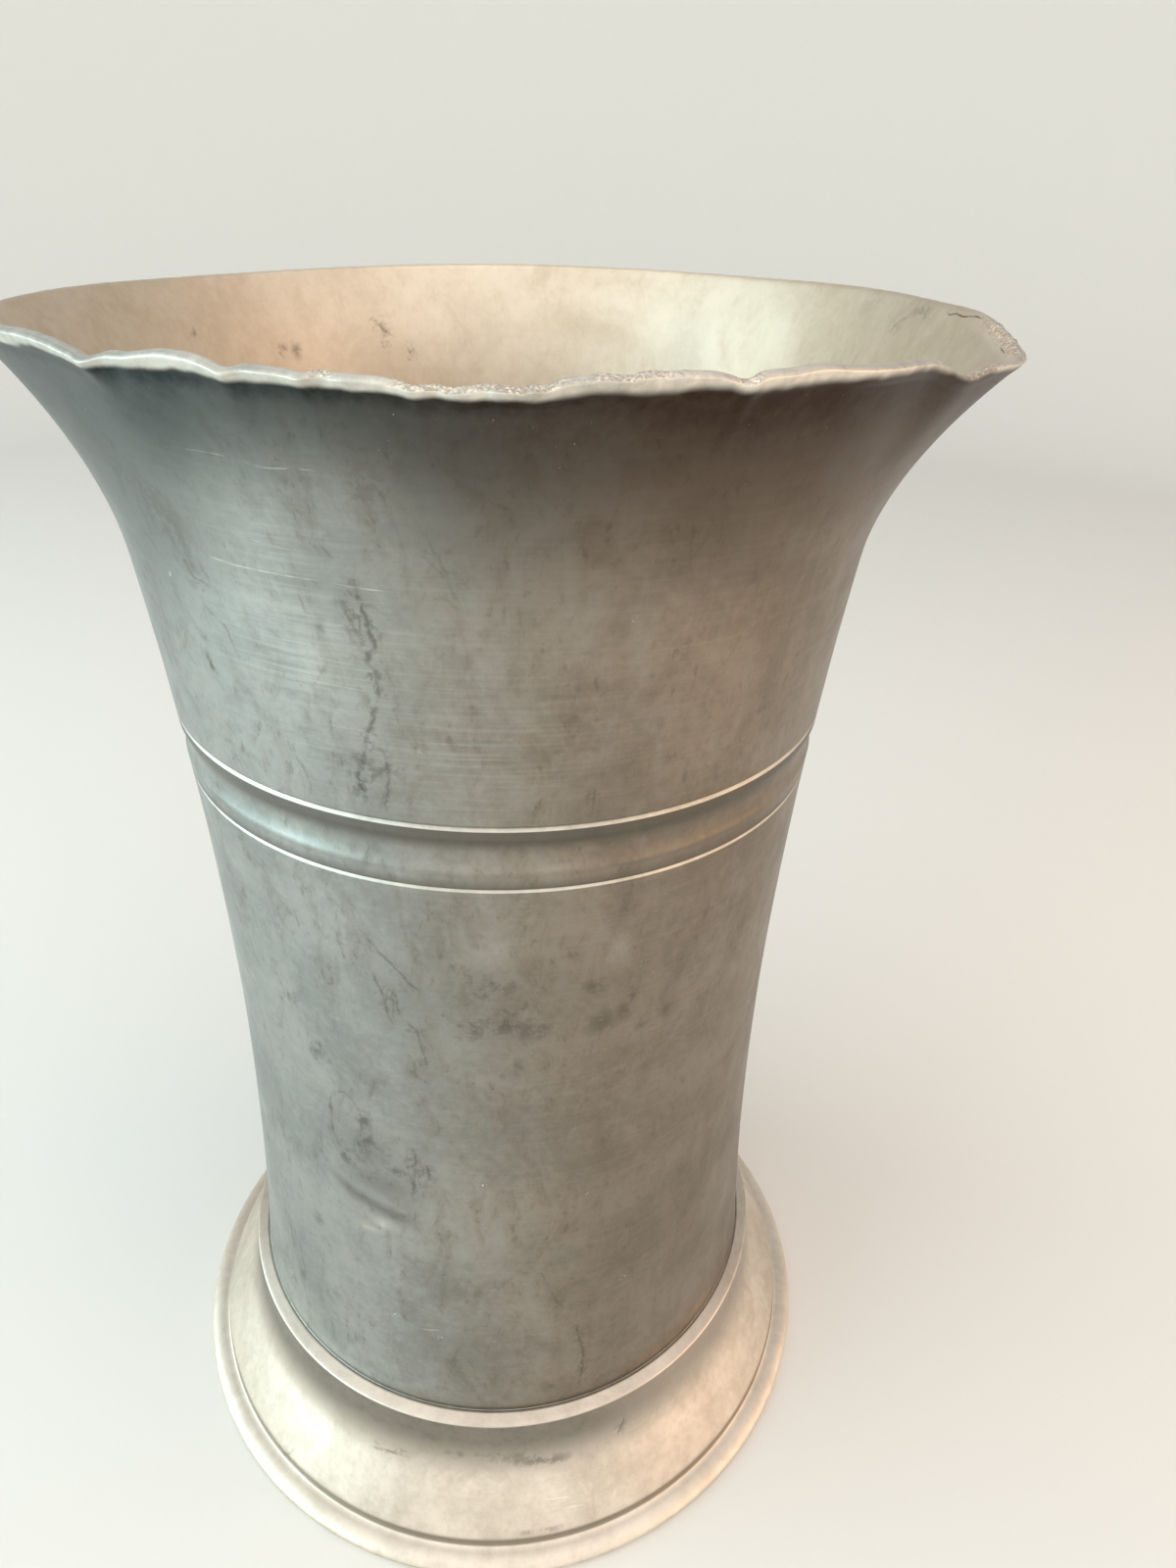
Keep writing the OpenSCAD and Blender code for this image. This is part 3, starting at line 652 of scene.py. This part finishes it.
drumMarks = dict(
    vein=[
        (0.6, 0.22, [(247, 107), (248.7, 105), (252.6, 101.8), (256.5, 98.8)]),
        (0.6, 0.2, [(248, 101), (249.2, 98.6), (250, 95), (251.3, 93)]),
        (0.55, 0.2, [(250, 99.5), (252, 97.5), (252, 94.5)]),
        (0.6, 0.2, [(253, 94.5), (255, 93), (256, 90), (256.5, 87)]),
        (0.5, 0.2, [(254, 88.7), (254.3, 85.7), (257, 84.5)]),
        (0.65, 0.22, [(236, 78.2), (235.2, 75.1), (234.9, 72.1), (235.1, 70.1), (236.8, 68.3),
                      (238.2, 66.6)]),
        (0.5, 0.2, [(236.5, 78.1), (239.2, 79.3), (240.8, 78.5), (242.6, 75.6), (241.8, 73.2),
                    (243.3, 71.3)]),
        (0.7, 0.3, [(234.4, 86.6), (234.4, 84.3), (231.9, 82)]),
        (0.8, 0.3, [(252.7, 73.5), (252.7, 69.5), (252, 64)]),
        (0.7, 0.25, [(255, 71), (255.5, 68.3), (254, 66)]),
        (0.65, 0.2, [(276.5, 51), (279.5, 45), (282, 42)]),
        (0.8, 0.24, [(284, 38.5), (285.8, 31.3), (285, 24.4)]),
        (0.55, 0.22, [(229.9, 30.6), (229.9, 24.9)]), (0.55, 0.2, [(234.5, 30.5), (234.6, 27)]),
        (0.55, 0.2, [(238.6, 34), (238.9, 28.8)]), (0.55, 0.22, [(233.4, 106.5), (234.6, 103.2)]),
    ],
    scratch=[(0.6, 0.15, [(249.3, 43.2), (251.3, 43.7)]), (0.65, 0.14, [(252.2, 37.7), (256.6, 38.4)])],
    stain=[
        (267.5, 100.8, 4, 3.4, 0.44), (264.2, 94.2, 2.8, 2.3, 0.43), (269.8, 95.6, 3.2, 3.2, 0.47),
        (273.4, 94.2, 2.2, 2.6, 0.42), (276, 94, 1.4, 2.1, 0.42), (262.8, 98.6, 2.2, 2, 0.42),
        (259.4, 96.7, 2.4, 2.2, 0.36), (273.8, 98, 1.3, 1.4, 0.46), (272.3, 88.2, 1.1, 1.6, 0.42),
        (269.8, 87.2, 0.9, 1.2, 0.42), (267.3, 84.8, 1, 1.2, 0.4), (284.8, 99, 2.3, 2.5, 0.45),
        (286.4, 93.8, 2.6, 2.6, 0.44), (290.2, 94.6, 1.8, 1.9, 0.42), (292, 96.8, 1.1, 1.7, 0.42),
        (294.3, 91.4, 1.2, 1.5, 0.38), (299.5, 92.3, 1.8, 1.7, 0.38), (254, 96, 6, 6, 0.25),
        (241, 70.2, 2.1, 1.9, 0.45), (238.2, 67, 1.9, 1.6, 0.44), (243.3, 72, 1.6, 1.5, 0.42),
        (244.8, 67.8, 2, 1.4, 0.44), (248.6, 68, 2, 1.3, 0.42), (242.6, 75.4, 1.1, 1.3, 0.4),
        (244, 68.5, 7, 6, 0.31), (268, 96, 9, 5.5, 0.3), (233.3, 84, 1.1, 1.8, 0.28),
        (227.7, 50.3, 1.3, 1.5, 0.35), (300, 60, 12, 20, 0.15), (259.5, 28.3, 1.8, 1.3, 0.35),
        (279, 26, 1.8, 1.2, 0.35), (254.5, 35.4, 1.6, 1.2, 0.25), (249, 59.7, 2.2, 0.8, 0.3),
        (276, 97, 14, 7, 0.22),
    ],
    pale=[
        (288.5, 104, 1.2, 2, 0.2), (267.5, 105.5, 3, 3, 0.12), (242, 55.2, 1.6, 0.7, 0.45),
        (245, 57, 1.4, 0.7, 0.5),
    ],
    nick=[
        (246.9, 39.1, 0.6, 0.6, 0.85), (256.4, 36.9, 0.6, 0.6, 0.85), (266, 68.1, 0.7, 0.5, 0.75),
        (285.8, 64.1, 0.6, 0.5, 0.65), (294.4, 44.8, 0.6, 0.5, 0.65), (286.1, 46, 0.6, 0.5, 0.6),
    ],
)
hollowTop = jointZ - halfLine - joint["upperFillet"]
hollowLow = lowLineZ + halfLine + joint["lowerFillet"]
hollowZ = np.linspace(hollowLow, hollowTop, drum["hollowSteps"])
hollowShare = (2 * hollowZ - hollowTop - hollowLow) / (hollowTop - hollowLow)
lineW, lowRootR = drum["lineShare"] * joint["lineW"], wallR(lowLineZ) - joint["lineD"]
hollow = np.column_stack([wallR(hollowZ) - joint["hollowD"] * (1 - hollowShare ** 2), hollowZ])
drumRuns = [
    (0, eased([(cupR - joint["flangeW"], drumBottom, 0.2), (spigotR, drumBottom), (spigotR, footH)], 1)),
    (0, wallRun(footH, lowLineZ - lineW - 0.1, drum["wallStep"])),
    (0, eased([(wallR(lowLineZ - lineW), lowLineZ - lineW), (lowRootR, lowLineZ)], drum["lineStep"])),
    (0, np.array([(wallR(lowLineZ + 0.1), lowLineZ + 0.1)])),
    (0, wallRun(lowLineZ + 0.3, hollowLow - 0.25, 0.4)),
    (0, hollow),
    (0, wallRun(hollowTop + 0.25, jointZ - lineW - 0.1, 0.3)),
    (0, eased([(wallR(jointZ - lineW), jointZ - lineW), (lineRootR, jointZ)], drum["lineStep"])),
    (1, eased([(lapR, jointZ), (lapR, lapTop), (lapInnerR, lapTop)], 1)),
    (1, wallRun(jointZ, footH, 2.5, joint["drumT"])),
    (1, eased([(cupR, floorLow), (cupR - joint["flangeW"], floorLow)], 1)),
]


def unevenDrum(angle, r, z):
    near, far = drum["settle"]
    free = smoothStep(z, footH + near, footH + far) * (1 - smoothStep(z, lowLineZ - far, lowLineZ - near))
    return r + free * unevenness(angle, z), z


drumPiece, angle, r, z = lathe("drumCasting", drumRuns, drum["segments"], unevenDrum)
drumPiece.data.materials.append(wallPewter)
drumPiece.data.materials.append(insidePewter)
outside = (r > wallR(z) - drum["skin"]).astype(float)
paintMarks(drumPiece, angle, z, drum["markR"], [(outside, drumMarks)])
# Bright metal with a painted highlight in both lines, painted shade under the upper one and over the lower
# one
inLine = sum((z > at - lineW + 0.04) * (z < at + 0.04) for at in (lowLineZ, jointZ))
underLine = smoothStep(z, hollowTop - drum["underFade"][0], hollowTop - drum["underFade"][1])
underLine *= drum["underShade"] * (z < jointZ - lineW + 0.02)
overLine = 1 - smoothStep(z, lowLineZ + drum["overFade"][0], lowLineZ + drum["overFade"][1])
overLine *= drum["overShade"] * (z > lowLineZ + 0.05)
paint(drumPiece, "rim", inLine * outside * drum["lineBright"])
# Painted warm light: the wall is browner away from the window
paint(drumPiece, "brownAndWarmLight", acrossFront(angle, *warmLightSide) * outside)
# Soft dark smears low on the left, fainter at their ends
smear = np.zeros(len(z))
for strength, half, line in drum["smears"]:
    far, _, inner = fromLine(angle, z, line, drum["markR"])
    ends = drum["smearEndShare"] + (1 - drum["smearEndShare"]) * np.clip(inner / drum["smearEnd"], 0, 1)
    smear = np.maximum(smear, strength * np.exp(-(far / half) ** 2) * ends)
atFoot = drum["footGrime"] * smoothStep(-z, -footH - drum["footFade"], -footH)
# Painted shade: the wall darkens low down towards the right
lowRight = acrossFront(angle, *drum["rightShade"])
lowRight *= smoothStep(-z, -drum["rightFade"][1], -drum["rightFade"][0])
paint(drumPiece, "grimeAndShade", atFoot + (underLine + overLine + smear + lowRight) * outside)

# Foot: ledge, upright face, cove, conical skirt, step and flange
foot = dict(footR=52.4, ledgeFall=0.7, ledgeFace=2.4, coveR=14, skirtSlope=58, stepR=49.2, stepH=1.5,
            stepLean=0.15, edgeR=1.3, crownH=0.1, crownGap=0.25, crownEnds=(8, 84), crownSteps=12, footT=2.2,
            segments=448, markR=46, coveGrimeAndShade=(0.85, 0.5, 280, 310), coveFade=(10.5, 18), stepShade=0.8,
            ledgeGrime=0.12, edgeRub=0.5)
footMarks = dict(
    vein=[
        (0.7, 0.2, [(242.5, 12.5), (246.8, 12.8), (251, 12.9)]), (0.7, 0.22, [(294.5, 16.8), (292, 13.3)]),
        (0.5, 0.2, [(225, 2.4), (228, 6.4)]),
    ],
    scratch=[
        (0.6, 0.13, [(276.2, 8.7), (283.9, 8.1)]), (0.6, 0.13, [(276.8, 7.4), (284.1, 6.8)]),
        (0.4, 0.12, [(277.5, 9.6), (282, 9.3)]), (0.6, 0.22, [(290.6, 8.7), (288.9, 5.7)]),
    ],
    stain=[
        (271, 14.4, 4, 1.2, 0.45), (275.5, 13.9, 3, 1.2, 0.5), (279, 13.4, 3, 1, 0.45),
        (267, 14.8, 3, 1, 0.4), (283.3, 5.7, 0.5, 0.5, 0.5), (275, 4.9, 4, 0.4, 0.5), (262, 15, 4, 1, 0.35),
    ],
)
ledgeR = boreR + joint["ledgeW"]
slope = math.radians(foot["skirtSlope"])
coveTop = footH - foot["ledgeFall"] - foot["ledgeFace"]
coveTurn = 90 - foot["skirtSlope"]
cove = arc((ledgeR + foot["coveR"], coveTop), foot["coveR"], 180 + coveTurn, 180, 24)
stepTop = (foot["stepR"], cove[0][1] - (foot["stepR"] - cove[0][0]) * math.tan(slope))
stepLow = (stepTop[0] + foot["stepLean"], stepTop[1] - foot["stepH"])
inset = (foot["footT"] * math.sin(slope), foot["footT"] * math.cos(slope))
hollowOut = (stepTop[0] - inset[0], stepTop[1] - inset[1])
hollowIn = (cove[0][0] - inset[0], cove[0][1] - inset[1])
edgeR = foot["edgeR"]
# The flange is worn round over its top
crownW = foot["footR"] - stepLow[0] - foot["crownGap"]
crownTurn = np.radians(np.linspace(*foot["crownEnds"], foot["crownSteps"]))
crown = np.column_stack([foot["footR"] - crownW * (1 - np.cos(crownTurn)),
                         edgeR + (edgeR + foot["crownH"]) * np.sin(crownTurn)])
footRuns = [
    (0, eased([(hollowOut[0], 0.5), (hollowOut[0], 0, 0.4), (foot["footR"] - edgeR, 0)])),
    (0, arc((foot["footR"] - edgeR, edgeR), edgeR, -85, 0, 8)),
    (0, crown),
    (0, eased([(crown[-1][0], crown[-1][1]), (stepLow[0], stepLow[1], 0.3), (stepTop[0], stepTop[1], 0.4),
               (cove[0][0], cove[0][1])], 0.45)[1:]),
    (0, cove[1:]),
    (0, eased([(ledgeR, coveTop + 0.3), (ledgeR, footH - foot["ledgeFall"], 0.3), (boreR, footH)], 0.4)),
    (0, eased([(boreR, footH - 0.2), (boreR, socketZ), (shoulderR, socketZ), (shoulderR, hollowIn[1], 0.3),
               (hollowIn[0], hollowIn[1], 0.8), (hollowOut[0], hollowOut[1], 0.8), (hollowOut[0], 1)])),
]
footPiece, angle, r, z = lathe("footCasting", footRuns, foot["segments"])
footPiece.data.materials.append(footPewter)
outer = (r > ledgeR - 0.15).astype(float)
paintMarks(footPiece, angle, z, foot["markR"], [(outer, footMarks)])
# Grime and painted shade in the cove, lighter towards the right; painted shade in the step; a little grime on
# the ledge
inCove = smoothStep(z, *foot["coveFade"]) * acrossFront(angle, *foot["coveGrimeAndShade"]) * (r > ledgeR - 0.05)
inStep = smoothStep(z, stepLow[1] - 0.1, stepLow[1] + 0.4)
inStep *= 1 - smoothStep(z, stepTop[1] - 0.4, stepTop[1] + 0.2)
inStep *= foot["stepShade"] * (r > foot["stepR"] - 1)
onLedge = foot["ledgeGrime"] * (z > footH - foot["ledgeFall"] - 0.1)
paint(footPiece, "grimeAndShade", np.clip(inCove + inStep + onLedge, 0, 1))
paint(footPiece, "rim", foot["edgeRub"] * (r > stepLow[0] + 0.1) * (z > edgeR))

# Floor disc: turned flat, with a few shallow tool rings and a centre mark
floor = dict(segments=192, steps=130, ringsAt=(6, 13, 21, 29), ringDepth=0.12, ringWidth=0.35,
             centreDepth=0.4, centreWidth=0.8)
across = np.linspace(0, floorR - 0.3, floor["steps"])
cutDepth = floor["ringDepth"] * sum(
    np.exp(-((across - at) / floor["ringWidth"]) ** 2) for at in floor["ringsAt"])
cutDepth += floor["centreDepth"] * np.exp(-(across / floor["centreWidth"]) ** 2)
floorRuns = [
    (0, np.column_stack([across[::5], np.full(len(across[::5]), floorLow)])),
    (0, eased([(floorR, floorLow), (floorR, floorTop, 0.1), (floorR - 0.2, floorTop)])),
    (0, np.column_stack([across, floorTop - cutDepth])[::-1]),
]
floorPiece = lathe("floorDisc", floorRuns, floor["segments"])[0]
weldPoints(floorPiece, 1e-7)
floorPiece.data.materials.append(floorPewter)

# Solder: a sleeve in the lap joint, a fillet round the floor and a bead under the drum
leg = joint["filletLeg"]
girdleRuns = [(0, eased([
    (lineRootR, jointZ), (lineRootR, mouthBottom), (lapSocketR, mouthBottom), (lapSocketR, lapTop + solderT),
    (lapInnerR, lapTop + solderT), (lapInnerR, lapTop), (lapR, lapTop), (lapR, jointZ)], 1))]
floorSolderRuns = [
    (0, eased([(floorR, floorTop), (floorR, floorLow), (cupR, floorLow)], 0.5)),
    (0, arc((cupR - leg, floorTop + leg), leg, 0, -90, 12)),
]
footSolderRuns = [
    (0, eased([(spigotR, footH), (spigotR, drumBottom)], 2)),
    (0, arc((shoulderR - leg, drumBottom - leg), leg, 90, 0, 12)),
    (0, eased([(shoulderR, socketZ), (boreR, socketZ), (boreR, footH)], 2)),
]
solderPieces = [
    (lathe(name, runs, joint["solderSegments"])[0], node)
    for name, runs, node in (
        ("girdleSolder", girdleRuns, "girdle_solder"), ("floorSolder", floorSolderRuns, "floor_solder"),
        ("footSolder", footSolderRuns, "foot_solder"),
    )
]
for piece, node in solderPieces:
    piece.data.materials.append(softSolder)

dressed = [(mouthPiece, "flared_mouth", "wall_pewter"), (drumPiece, "drum", "wall_pewter"),
           (footPiece, "foot", "foot_pewter"), (floorPiece, "floor_disc", "floor_pewter")]
dressed += [(piece, node, "solder") for piece, node in solderPieces]
for piece, node, slot in dressed:
    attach(piece, "root")
    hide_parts(node)
print("pieces dressed:", len(dressed))

# Stage: a round pale floor that sweeps up into a low wall on every side
stage = dict(floorR=700, bendR=300, wallH=500, thick=5, segments=96, arcSteps=24, tone="#e4e3df", rough=0.9)
thick, bend = stage["thick"], stage["bendR"]
stageR = stage["floorR"] + bend
sweep = np.concatenate([
    np.array([(0, 0), (200, 0), (450, 0)]),
    arc((stage["floorR"], bend), bend, -90, 0, stage["arcSteps"]),
    np.array([(stageR, stage["wallH"]), (stageR + thick, stage["wallH"])]),
    arc((stage["floorR"] + thick, bend), bend, 0, -90, stage["arcSteps"]) - np.array([0, thick]),
    np.array([(450, -thick), (0, -thick)]),
])
backdrop = lathe("backdrop", [(0, sweep[::-1])], stage["segments"])[0]
weldPoints(backdrop, 1e-6)
# Matt paper, pale and even, which shows nothing but soft shadow
paper = bpy.data.materials.new("paper, matt, pale")
paper.use_nodes = True
paperShader = paper.node_tree.nodes["Principled BSDF"]
paperShader.inputs["Base Color"].default_value = hexLinear(stage["tone"])
paperShader.inputs["Roughness"].default_value = stage["rough"]
backdrop.data.materials.append(paper)

# Soft light: a cool window side on the left, a warmer one on the right and a broad one overhead
lamps = dict(
    left=dict(place=(-660, -160, 260), aim=(0, 0, 90), size=(900, 560), watts=6.0, tone="#d2eef2"),
    right=dict(place=(660, -260, 280), aim=(0, 0, 90), size=(760, 460), watts=2.2, tone="#ffcfa8"),
    front=dict(place=(0, -760, 260), aim=(0, 0, 60), size=(900, 420), watts=1.2, tone="#fffaf2"),
    overhead=dict(place=(0, -220, 860), aim=(0, 0, 0), size=(1100, 1000), watts=4.6, tone="#fffaf4"),
)
for name, lamp in lamps.items():
    light = bpy.data.lights.new(name, "AREA")
    light.shape = "RECTANGLE"
    light.size, light.size_y = lamp["size"][0] * mm, lamp["size"][1] * mm
    light.energy = lamp["watts"]
    light.color = hexLinear(lamp["tone"])[:3]
    lampObject = bpy.data.objects.new(name, light)
    scene.collection.objects.link(lampObject)
    lampObject.location = Vector(lamp["place"]) * mm
    aim = Vector(lamp["aim"]) * mm - lampObject.location
    lampObject.rotation_euler = aim.to_track_quat("-Z", "Y").to_euler()
    lampObject.visible_camera = False
studio = dict(tone="#f2f2f2", strength=0.45)
world = bpy.data.worlds.new("studio")
scene.world = world
world.use_nodes = True
surround = world.node_tree.nodes["Background"]
surround.inputs["Color"].default_value = hexLinear(studio["tone"])
surround.inputs["Strength"].default_value = studio["strength"]
print("stage and lights set")
